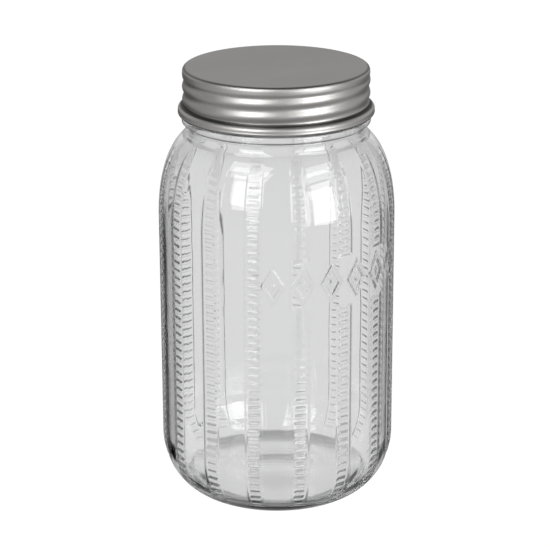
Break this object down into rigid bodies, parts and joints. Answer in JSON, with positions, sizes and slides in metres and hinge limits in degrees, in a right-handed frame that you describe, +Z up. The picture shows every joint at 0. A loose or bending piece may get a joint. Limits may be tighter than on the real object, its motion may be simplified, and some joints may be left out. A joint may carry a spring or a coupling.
{
  "type": "screw-lid storage jar",
  "caption": "Tall clear glass storage jar with sunk ladder-like bands down its wall, a row of embossed lozenges and a flat-topped metal screw lid.",
  "frame": {"origin": "middle of the contact ring under the jar, on the surface it stands on", "axes": "+Z up along the jar's axis, -Y towards the middle of the row of embossed lozenges"},
  "size_m": [0.1096, 0.1104, 0.206],
  "materials": {
    "clear_glass": "clear pressed glass, fire polished",
    "tinplate": "satin, fine brushed grain",
    "liner_foam": "matt closed-cell foam"
  },
  "bodies": {
    "jar": {"jar_body": "clear_glass"},
    "liner": {"sealing_liner": "liner_foam"},
    "lid": {"lid_shell": "tinplate"}
  },
  "joints": [
    {"name": "lid_lift", "type": "slide", "parent": "jar", "child": "liner", "axis": [0, 0, 1], "range_m": [0, 0.0236]},
    {"name": "lid_turn", "type": "hinge", "parent": "liner", "child": "lid", "pos_m": [0, 0, 0.195], "axis": [0, 0, 1], "range_deg": [0, 1440]}
  ],
  "couplings": [
    {"joint": "lid_lift", "follows": "lid_turn", "m_per_rad": 0.00093901}
  ]
}
